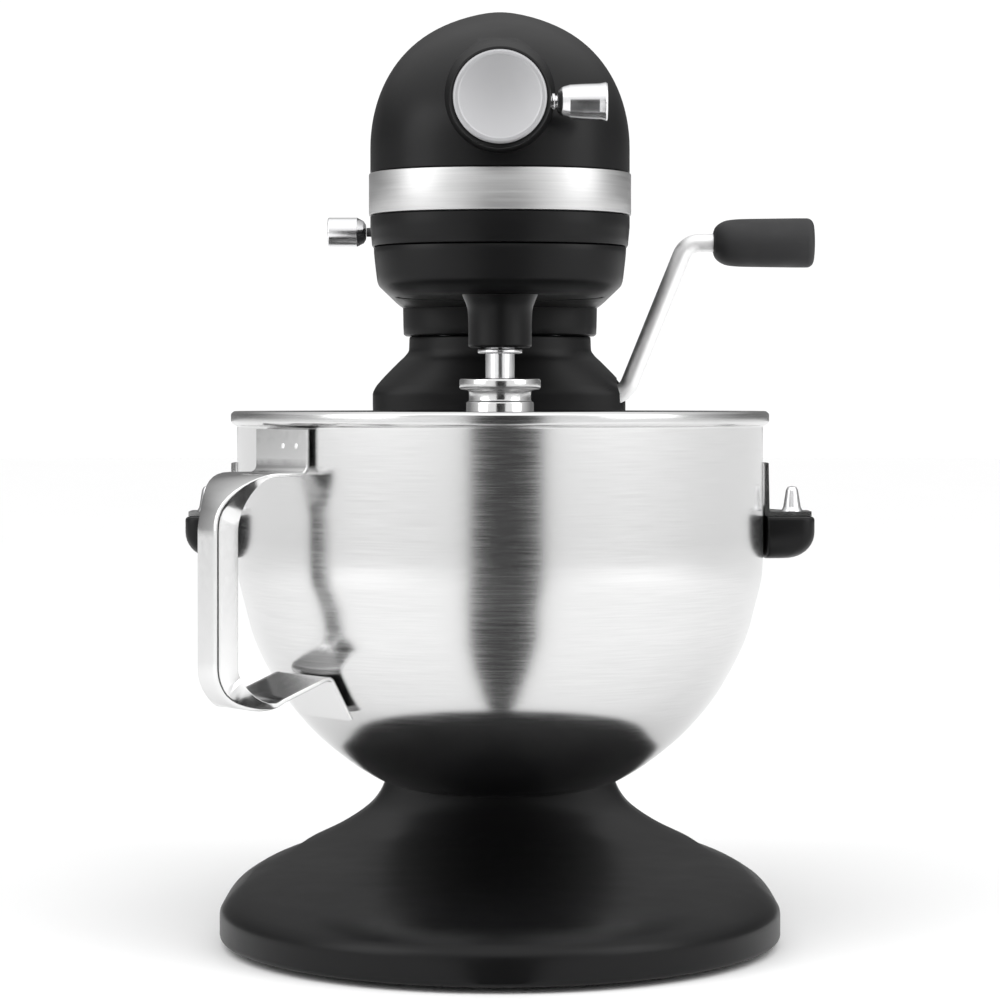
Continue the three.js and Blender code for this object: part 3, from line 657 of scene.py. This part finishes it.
def head_shell():
    bottom = HEAD["bottom"]
    edge = [(bottom, 0.6), (bottom + 0.2, 0.2), (bottom + 0.7, 0)]
    walls = [(312, 0), (315.5, 0), (317, 0), (319, 0), (321.4, 0), (321.8, 0.4), (321.8, 1)]
    groove = [(340.6, 1), (340.6, 0.4), (341, 0), (344, 0), (348, 0)]
    dome = [(z, 0) for z in dome_levels(0, 3)]
    inner = [(z, HEAD_WALL) for z in reversed([bottom, 330, 345, *dome_levels(HEAD_WALL, 9)])]
    rings = [head_ring(z, inset) for z, inset in [*inner, *edge, *walls, *groove, *dome]]
    return solid(*skin(rings))


def hub_boss():
    flare = curve_through([(21.5, -68), (22.4, -62), (24.8, -52), (27.6, -42), (30.6, -30), (32, -20)], 5)
    outline = [*rounded([(0, HUB_FACE), (21.5, HUB_FACE, 1.2), (21.5, -68)], 4), *flare[1:], (0, -20)]
    return turned_solid(outline, (0, 0, HUB_Z), "y", 96)


def head_core():
    """The space inside the head, so that the hub boss does not fill it."""
    inset = HEAD_WALL + 0.2
    return solid(*skin([head_ring(z, inset) for z in (300, *dome_levels(inset, 15))]))


def head():
    shell = head_shell()
    cover = shell.copy()
    cover.data = shell.data.copy()
    bpy.context.scene.collection.objects.link(cover)
    front_half = block((-90, -120, 290), (90, HEAD["cover"], 440), axis="x")
    back_half = block((-90, HEAD["cover"] + COVER_GAP, 290), (90, 270, 440), axis="x")
    bore = rod(19.6, -90, -40, (0, 0, HUB_Z), "y", 96)
    knob_hole = rod(3.1, 12, 30, (0, KNOB_Y, KNOB_Z), "x", 32)
    slot = block((-66, 16.5, 316.4), (-45, 63.5, 321.4), edge=2.4, axis="x")
    boss = carve(hub_boss(), "DIFFERENCE", head_core())
    carve(shell, "INTERSECT", front_half)
    carve(shell, "UNION", boss)
    carve(shell, "DIFFERENCE", bore, knob_hole, slot)
    as_piece(shell, "head_casting", "head_housing", crisp=32)
    vents = [block((-24, 210, z), (24, 255, z + 3), edge=1.45, axis="y") for z in (356, 364, 372, 380)]
    seat_outline = [(0, 220), (2.6, 220), (2.6, 238.7), (5.2, 238.7), (5.2, 250), (0, 250)]
    seat = turned_solid(seat_outline, (0, 0, SCREW_Z), "y")
    carve(cover, "INTERSECT", back_half)
    carve(cover, "DIFFERENCE", seat, *vents)
    as_piece(cover, "rear_cover_casting", "rear_cover", crisp=32)


head()


def cover_screw():
    outline = rounded([
        (0, 226), (2.2, 226, 0.3), (2.2, 239), (4.5, 239), (4.5, 240.1, 0.6), (3.4, 240.8, 0.4), (0, 240.9)
    ], 3)
    screw = turned_solid(outline, (0, 0, SCREW_Z), "y", 40)
    cross = [
        block((-2.3, 239.6, SCREW_Z - 0.5), (2.3, 243, SCREW_Z + 0.5)),
        block((-0.5, 239.6, SCREW_Z - 2.3), (0.5, 243, SCREW_Z + 2.3)),
    ]
    as_piece(carve(screw, "DIFFERENCE", *cross), "rear_cover_screw_head", "rear_cover_screw")


cover_screw()


def trim_band():
    low, high = BAND_LOW, BAND_HIGH
    edge = [
        (0.6, low), (-0.2, low), (-0.5, low + 0.15), (-0.6, low + 0.5), (-0.6, (low + high) / 2),
        (-0.6, high - 0.5), (-0.5, high - 0.15), (-0.2, high), (0.6, high),
    ]
    rings = [head_ring(z, inset, 160) for inset, z in edge]
    rings.append(rings[0])
    points, faces = skin(rings, closed_ends=False)
    make_piece("trim_band_strip", points, faces, "trim_band")


trim_band()

# ---------------------------------------------------------------- lower gearcase
BOLTS = [(-27, 154), (27, 154), (-25, 190), (25, 190)]


def lower_gearcase():
    # z, half width, front, nose length, back, tail length
    rows = [
        (286.5, 47, -51, 42, 226, 44),
        (286.9, 48, -52, 42, 227, 44),
        (288, 49.8, -54, 42, 229, 44),
        (289.4, 51.6, -56.6, 43.6, 232, 44),
        (291.2, 53.4, -59, 45.6, 235, 44),
        (293.2, 54.1, -60.2, 46, 236.4, 44),
        (296, 54.5, -60.7, 46, 237.1, 44),
        (307.6, 55.6, -61.6, 46, 238.4, 44),
        (308, 55.2, -61.2, 46, 238, 44),
    ]
    neck_rows = [
        (273, 47.2, 135.8, 30, 210.2, 32), (273.8, 48, 135, 30, 211, 32), (290, 48.4, 134.6, 30, 211.4, 32),
    ]
    case = solid(*skin([plan_ring(*row) for row in eased_rows(rows, 4)]))
    neck = solid(*skin([plan_ring(*row) for row in eased_rows(neck_rows, 4)]))
    hollow = solid(*skin([plan_ring(z, 50.4, -56.4, 42, 232, 44) for z in (291, 312)]))
    neck_hollow = solid(*skin([plan_ring(z, 43, 140, 30, 206, 32) for z in (282, 295)]))
    collar = rod(49, 290, 296.7, (0, 0, 0), sides=96)
    mouth = rod(46.2, 270, 300, (0, 0, 0), sides=128)
    holes = [rod(3.4, 270, 290, (x, y, 0), sides=24) for x, y in BOLTS]
    carve(case, "UNION", neck)
    carve(case, "DIFFERENCE", hollow, neck_hollow)
    carve(case, "UNION", collar)
    carve(case, "DIFFERENCE", mouth, cable_way(270, 290), *holes)
    as_piece(case, "lower_gearcase_casting", "lower_gearcase", crisp=32)


lower_gearcase()

# ---------------------------------------------------------------- planetary, shaft and whip
OFFSET = 30  # from the bowl's axis to the whip's


def planetary():
    plate = turned_solid(
        rounded([(0, 286.8), (45.6, 286.8, 0.8), (45.6, 292, 0.8), (0, 292)], 4), (0, 0, 0), sides=128
    )
    side = curve_through([(13.8, 265.2), (13.8, 270), (13.9, 276), (14.5, 281.6), (16.8, 287.4)], 5)
    outline = [*rounded([(0, 263.6), (13.8, 263.6, 1.2), (13.8, 265.2)], 4), *side[1:], (0, 287.4)]
    boss = turned_solid(outline, (0, -OFFSET, 0), sides=72)
    hub = rod(12, 291, 296, (0, 0, 0))
    centre_bore = rod(7.3, 288, 300, (0, 0, 0))
    shaft_bore = rod(6.7, 260, 300, (0, -OFFSET, 0))
    carve(plate, "UNION", boss, hub)
    carve(plate, "DIFFERENCE", centre_bore, shaft_bore)
    as_piece(plate, "planetary_casting", "planetary_carrier", crisp=32)


planetary()


def beater_shaft():
    outline = rounded([
        (0, 229), (5.6, 229), (6.35, 230, 0.5), (6.35, 261), (9.7, 261, 0.7), (9.7, 263.2, 0.7),
        (6.35, 263.2), (6.35, 297), (5.2, 297), (5.2, 306, 0.4), (0, 306),
    ], 4)
    turned("beater_shaft_bar", outline, "beater_shaft", (0, -OFFSET, 0), sides=64)


beater_shaft()


def whip_hub():
    outline = rounded([
        (6.7, 228.5), (6.7, 250.3, 0.4), (17.8, 250.3, 1.2), (17.8, 245.5, 1.2), (13.6, 245.1, 0.8),
        (13.6, 240.6, 0.8), (14.8, 239.8, 0.8), (14.8, 221, 3), (16, 212, 1), (0, 212), (0, 228.5),
    ], 4)
    centre = (0, -OFFSET, 0)
    turned("whip_hub_turned", outline, "whip_hub", centre, sides=72, closed=True, look="handle_steel")


whip_hub()


WIRE_RADIUS = 1.1


def whip_wires():
    wires = sorted(node for node in frame["nodes"] if node.startswith("whip_wire_"))
    for i, node in enumerate(wires):
        low = span(node)[0].z + WIRE_RADIUS
        turn = math.pi * i / len(wires)
        along = Vector((math.cos(turn), math.sin(turn), 0))
        side = Vector((-math.sin(turn), math.cos(turn), 0))
        half = [(11.5, 211.3), (15.5, 206), (36, 184), (50, 150), (46, 118), (28, low + 8)]
        outline = [*((-x, z) for x, z in half), (0, low), *half[::-1]]

        def place(x, z):
            return along * x + Vector((0, -OFFSET, z))

        path = curve_through(outline, 9)
        points, faces = swept(path, place, side, lambda share: round_section(WIRE_RADIUS, 10))
        make_piece(f"{node}_loop", points, faces, node, look="handle_steel")


whip_wires()

# ---------------------------------------------------------------- hub cap and knobs


def hub_cap():
    outline = rounded([
        (0, -86.9), (16.9, -86.9), (17.7, -87.4, 0.3), (19, -87.4, 0.5), (19.7, -86.6, 0.4),
        (19.7, -84.1, 0.3), (16.8, -84.1), (16.8, -70, 0.5), (14.5, -70, 0.5), (14.5, -83), (0, -83),
    ], 4)
    turned("hub_cap_disc", outline, "hub_cap", (0, 0, HUB_Z), axis="y", sides=128)


hub_cap()


def attachment_knob():
    outline = rounded([
        (0, 17.5), (2.6, 17.5, 0.3), (2.6, 21.8), (3.6, 21.8, 0.5), (3.6, 23.3, 0.5), (2.7, 23.4),
        (2.7, 24), (4.6, 24.4, 0.8), (6.4, 26.4, 1.5), (7.3, 29.6, 2), (7.6, 35, 3), (7.8, 42, 2),
        (8.3, 44.7, 0.6), (7.9, 45.5, 0.3), (0, 45.5),
    ], 5)
    turned("attachment_knob_turned", outline, "attachment_knob", (0, KNOB_Y, KNOB_Z), axis="x", sides=72)


attachment_knob()


def speed_knob():
    outline = rounded([
        (0, -80), (6.8, -80, 0.7), (6.8, -66.4, 0.6), (5.2, -63.4, 0.8), (3.4, -62.3, 0.5), (0, -62.3)
    ], 5)
    turned("speed_knob_turned", outline, "speed_knob", (0, SPEED_Y, SPEED_Z), axis="x", sides=72)


speed_knob()

# ---------------------------------------------------------------- lift lever
GRIP_Z = 319.3
ROD_RADIUS = 4.5


def lift_lever():
    path = rounded([(8.3, LEVER_Z), (62, LEVER_Z, 11), (93, GRIP_Z, 10), (112, GRIP_Z)], 14)
    points, faces = swept(
        path, lambda x, z: (x, LEVER_Y, z), Vector((0, 1, 0)), lambda share: round_section(ROD_RADIUS, 36)
    )
    make_piece("lever_rod_bar", points, faces, "lever_rod", look="satin_rod")
    nose = curve_through([(4.9, 106.2), (7.6, 107.2), (9.8, 109.6), (11.2, 113), (11.8, 118), (12, 124)], 4)
    end = rounded([
        (12, 124), (12.3, 147), (12.3, 156.2, 3.4), (7.8, 156.2, 0.6), (7.6, 152.6), (0, 152.6),
    ], 6)
    grip = [(0, 112.4), (4.9, 112.4), *nose, *end[1:]]
    turned("lever_grip_sleeve", grip, "lever_grip", (0, LEVER_Y, GRIP_Z), axis="x", sides=72)
    cap = rounded([(0, 153), (7.2, 153), (7.2, 154.8, 0.7), (5.4, 154.5, 0.4), (0, 154.3)], 4)
    turned("lever_end_disc", cap, "lever_end_cap", (0, LEVER_Y, GRIP_Z), axis="x", sides=64)


lift_lever()

# ---------------------------------------------------------------- yoke
PIN_X = 130.2
YOKE_IN, YOKE_OUT = 118.2, 139.5


def yoke_ring(z, inset):
    """The yoke's level outline: two arms round the bowl's back half."""
    front = -14 + inset
    reach = YOKE_OUT - inset
    end = rounded([(YOKE_IN, 10), (YOKE_IN, front, 1.6), (reach, front, 6), (reach, 8)], 6)[1:-1]

    def bend(value):
        return math.copysign(abs(value) ** (2 / 3), value)

    sweep = [math.pi * i / 90 for i in range(91)]
    outer = [(reach * bend(math.cos(a)), 40 + (91 - inset) * bend(math.sin(a))) for a in sweep]
    inner = [(-YOKE_IN * math.cos(a), YOKE_IN * math.sin(a)) for a in sweep]
    mirrored = [(-x, y) for x, y in end[::-1]]
    return [(x, y, z) for x, y in [*end, *outer, *mirrored, *inner]]


def bowl_yoke():
    under = [(z, inset) for inset, z in rounded([(14, 170.4), (0, 170.4, 12), (0, 186)], 10)[1:]]
    over = [(z, inset) for inset, z in rounded([(0, 186), (0, 189.2, 1.6), (6, 189.2)], 5)[1:-1]]
    arms = solid(*skin([yoke_ring(z, inset) for z, inset in [*under, *over]]))
    plate = block((-36, 124, 180), (36, 130, 222), edge=5, axis="y")
    tongue = block((-15, 126, 172), (15, 141.7, 187), edge=2, axis="y")
    pin_slot = block((-4.5, 118, 198), (4.5, 136, 240), edge=3, axis="y")
    carve(arms, "UNION", plate, tongue)
    carve(arms, "DIFFERENCE", pin_slot)
    as_piece(arms, "bowl_yoke_casting", "bowl_yoke", crisp=32)


bowl_yoke()


def locating_pins():
    outline = rounded([
        (0, 189.5), (4.75, 189.5), (4.75, 191.6, 0.5), (3.9, 193.2, 1), (2.7, 200.6, 0.8),
        (1.9, 202.2, 0.6), (0, 202.5),
    ], 5)
    for node in ("locating_pin_left", "locating_pin_right"):
        low, high = span(node)
        turned(f"{node}_turned", outline, node, ((low.x + high.x) / 2, (low.y + high.y) / 2, 0), sides=48)


locating_pins()

# ---------------------------------------------------------------- bowl
WALL_R = 116.9
RIM_R = 119.6
SHEET = 0.9
STEEP_Z = 110  # above this the inner face is offset inwards, below it inwards and up
# radius and height, from the foot up to where the wall is upright
BOWL_CURVE = [
    (36, 68), (43, 69.2), (50.8, 71.4), (60, 76.4), (68.2, 82), (81.2, 92.8), (93.7, 107), (102.6, 121.4),
    (109.3, 135.6), (113.3, 150), (116.2, 162), (WALL_R, 172),
]


def bowl():
    curve = curve_through(BOWL_CURVE, 5)
    bead = rounded([
        (WALL_R, 180), (WALL_R, 229.4, 0.8), (118.4, 230, 0.6), (RIM_R, 231.2, 1), (RIM_R, 234.8, 1.1),
        (118.2, 236, 1), (116.6, 236, 0.8), (115.9, 234.6, 0.6), (115.9, 226),
    ], 4)
    inside = [
        (r - SHEET, z) if z > STEEP_Z else (r - 0.7 * SHEET, z + 0.8 * SHEET) for r, z in curve[::-2]
    ]
    outline = [(0, 68.6), (30, 68.6), (33, 68), *curve, *bead, *inside, (0, 69.4)]
    turned("bowl_shell", outline, "bowl", (0, 0, 0), sides=192, crisp=50)


bowl()

# ---------------------------------------------------------------- bowl handle and brackets
HANDLE_ANGLE = math.radians(51)
HANDLE_FACE, HANDLE_OUT = 119, 157
STRAP = 1.6
PLATE_HALF, GRIP_HALF, GRIP_DEPTH = 18.5, 7.8, 11
PATH_STEP = 3
WELD_Z = 221.5
WELDS_ACROSS = (1.5, 11)


def smoothstep(value, low, high):
    t = min(1.0, max(0.0, (value - low) / (high - low)))
    return t * t * (3 - 2 * t)


def strap_section(share):
    """Across and inwards points of the strap: flat at its ends, folded to a channel at the grip."""
    grip = smoothstep(share, 0.16, 0.3) * (1 - smoothstep(share, 0.66, 0.78))
    half = PLATE_HALF + (GRIP_HALF - PLATE_HALF) * grip
    flange = STRAP + 0.02 + (GRIP_DEPTH - STRAP) * grip
    fold = 0.3 + 2.2 * grip
    inner = half - STRAP
    return rounded([
        (-half, 0, fold), (half, 0, fold), (half, flange, 0.3), (inner, flange, 0.3), (inner, STRAP),
        (-inner, STRAP), (-inner, flange, 0.3), (-half, flange, 0.3),
    ], 4, closed=True)


def divided(path, step):
    """A path with points added along its straights, about one step apart."""
    fine = []
    for a, b in zip(path, path[1:]):
        parts = max(1, round(math.dist(a, b) / step))
        for k in range(parts):
            fine.append((a[0] + (b[0] - a[0]) * k / parts, a[1] + (b[1] - a[1]) * k / parts))
    return [*fine, path[-1]]


def spot_weld(name, outwards, side, across):
    """A low round button on the handle's upper plate."""
    rings = []
    for radius, rise in ((1.2, -0.3), (1.2, 0.1), (0.8, 0.3), (0.2, 0.35)):
        middle = outwards * (HANDLE_FACE + rise) + side * across + Vector((0, 0, WELD_Z))
        rings.append([tuple(middle + side * u + Vector((0, 0, v))) for u, v in round_section(radius, 24)])
    points, faces = skin(rings)
    make_piece(name, points, faces, "bowl_handle", look="satin_rod")


def bowl_handle():
    outwards = Vector((-math.sin(HANDLE_ANGLE), -math.cos(HANDLE_ANGLE), 0))
    side = Vector((0, 0, 1)).cross(outwards)
    # distance from the bowl's axis, height, bend radius
    corners = [
        (HANDLE_FACE, 228.5), (HANDLE_FACE, 222), (HANDLE_FACE, 210.4, 3), (132, 210.4),
        (HANDLE_OUT, 210.4, 24), (HANDLE_OUT, 160), (HANDLE_OUT, 97, 17), (130, 115),
        (106.6, 123.4, 2.4), (96.2, 105.4),
    ]
    path = divided(rounded(corners, 12), PATH_STEP)
    points, faces = swept(path, lambda r, z: outwards * r + Vector((0, 0, z)), side, strap_section)
    make_piece("bowl_handle_strap", points, faces, "bowl_handle", look="handle_steel", crisp=40)
    for number, across in enumerate(WELDS_ACROSS, 1):
        spot_weld(f"bowl_handle_weld_{number}", outwards, side, across)


bowl_handle()


def bowl_brackets():
    for node, sign in (("bowl_bracket_right", 1), ("bowl_bracket_left", -1)):
        profile = rounded([
            (117.4, 213), (117.4, 189.5, 0.5), (138, 189.5), (138, 191.5), (119.4, 191.5, 1), (119, 213)
        ], 5, closed=True)
        rings = [[(sign * x, y, z) for x, z in profile] for y in (-10, 10)]
        bracket = solid(*skin(rings))
        hole = rod(5.4, 180, 200, (sign * PIN_X, 0, 0), sides=40)
        as_piece(carve(bracket, "DIFFERENCE", hole), f"{node}_pressed", node, look="handle_steel")


bowl_brackets()


def rear_pin():
    outline = rounded([
        (0, 117.3), (3.5, 117.3), (3.5, 121), (2.9, 121.6), (2.9, 123), (3.5, 123.6),
        (3.5, 125.6, 0.8), (2.3, 127, 0.4), (0, 127),
    ], 4)
    turned("bowl_rear_stud", outline, "bowl_rear_pin", (0, 0, 203), axis="y", sides=40, look="handle_steel")


rear_pin()

# ---------------------------------------------------------------- floor, light and camera
CAMERA_BACK = 1400
CAMERA_Z = 240
SENSOR = 36
LENS = 113
SHIFT_Y = -0.098
FLOOR_SIZE = 24  # metres, as are the softboxes' places and sizes
FRONT_LEVEL, REAR_LEVEL, TOP_LEVEL, BACKDROP_LEVEL = 1.0, 0.2, 0.8, 1.05
SOFTBOX_AT = (1.3, -0.8, 0.95)
SOFTBOX_TARGET = (0, 0, 0.4)
SOFTBOX_SIZE = (1.0, 1.4)
SOFTBOX_WATTS = 8
# The outline of the black card that paints a dark reflection into the steel, in millimetres about the
# bowl's axis.
# left, right, y, z: it widens away from the bowl and stands up behind the camera
CARD_ROWS = [
    (-10, 12, -133, 1), (-34, 38, -188, 1), (-64, 76, -300, 1),
    (-320, 470, -1500, 1), (-320, 470, -1500, 620),
]


def floor():
    bpy.ops.mesh.primitive_plane_add(size=FLOOR_SIZE)
    plane = bpy.context.object
    plane.name = "floor"
    look = Look("floor", (0.96, 0.96, 0.96), 0.7)
    look.vary_roughness(look.noise(4), 0.66, 0.74)
    look.set(**{"Specular IOR Level": 0.2})
    plane.data.materials.append(look.material)


def area_light(name, location, target, size, power):
    light = bpy.data.lights.new(name, "AREA")
    light.shape = "RECTANGLE"
    light.size, light.size_y, light.energy = *size, power
    lamp = bpy.data.objects.new(name, light)
    lamp.location = location
    lamp.rotation_euler = (Vector(target) - Vector(location)).to_track_quat("-Z", "Y").to_euler()
    bpy.context.scene.collection.objects.link(lamp)


def studio():
    """A room lit from above and in front and dim behind, with a plain white backdrop, and two softboxes."""
    world = bpy.data.worlds.new("studio")
    world.use_nodes = True
    tree = world.node_tree
    direction = tree.nodes.new("ShaderNodeSeparateXYZ")
    tree.links.new(tree.nodes.new("ShaderNodeTexCoord").outputs["Generated"], direction.inputs[0])
    front = ranged(tree, direction.outputs["Y"], 0.6, -0.6, REAR_LEVEL, FRONT_LEVEL)
    above = ranged(tree, direction.outputs["Z"], 0.35, 0.85, 0.0, TOP_LEVEL)
    room = tree.nodes.new("ShaderNodeMath")
    tree.links.new(front, room.inputs[0])
    tree.links.new(above, room.inputs[1])
    mix = tree.nodes.new("ShaderNodeMix")
    backdrop = tree.nodes.new("ShaderNodeLightPath").outputs["Is Camera Ray"]
    tree.links.new(backdrop, mix.inputs["Factor"])
    tree.links.new(room.outputs[0], mix.inputs["A"])
    mix.inputs["B"].default_value = BACKDROP_LEVEL
    tree.links.new(mix.outputs[0], tree.nodes["Background"].inputs["Strength"])
    tree.nodes["Background"].inputs["Color"].default_value = (1, 1, 1, 1)
    bpy.context.scene.world = world
    x, y, z = SOFTBOX_AT
    for name, side in (("left_softbox", -1), ("right_softbox", 1)):
        area_light(name, (side * x, y, z), SOFTBOX_TARGET, SOFTBOX_SIZE, SOFTBOX_WATTS)


def add_painted_reflection_card():
    """A painted reflection: a black card on the floor before the mixer and standing up behind the camera,
    which only the reflections show.

    It is hidden from the camera, from diffuse light and from shadows, and paints the dark stripe in the
    bowl's steel.
    """
    points = [(x, y, z) for left, right, y, z in CARD_ROWS for x in (left, right)]
    faces = [(i, i + 1, i + 3, i + 2) for i in range(0, len(points) - 2, 2)]
    mesh = mesh_of("painted_reflection_card", points, faces)
    card = bpy.data.objects.new("painted_reflection_card", mesh)
    bpy.context.scene.collection.objects.link(card)
    # The card's near-black is a painted reflection: only glossy rays see it, so it darkens reflections and
    # nothing else.
    look = Look("painted_reflection_black", (0.015, 0.015, 0.015), 0.9)
    look.vary_roughness(look.noise(20), 0.85, 0.95)
    mesh.materials.append(look.material)
    card.visible_camera = card.visible_diffuse = card.visible_shadow = False


def camera():
    data = bpy.data.cameras.new("camera")
    data.lens = LENS
    data.sensor_width = SENSOR
    data.shift_y = SHIFT_Y
    view = bpy.data.objects.new("camera", data)
    view.location = at(0, -CAMERA_BACK, CAMERA_Z)
    view.rotation_euler = (math.pi / 2, 0, 0)
    bpy.context.scene.collection.objects.link(view)
    bpy.context.scene.camera = view


floor()
studio()
add_painted_reflection_card()
camera()
bpy.context.scene.view_settings.view_transform = "Standard"
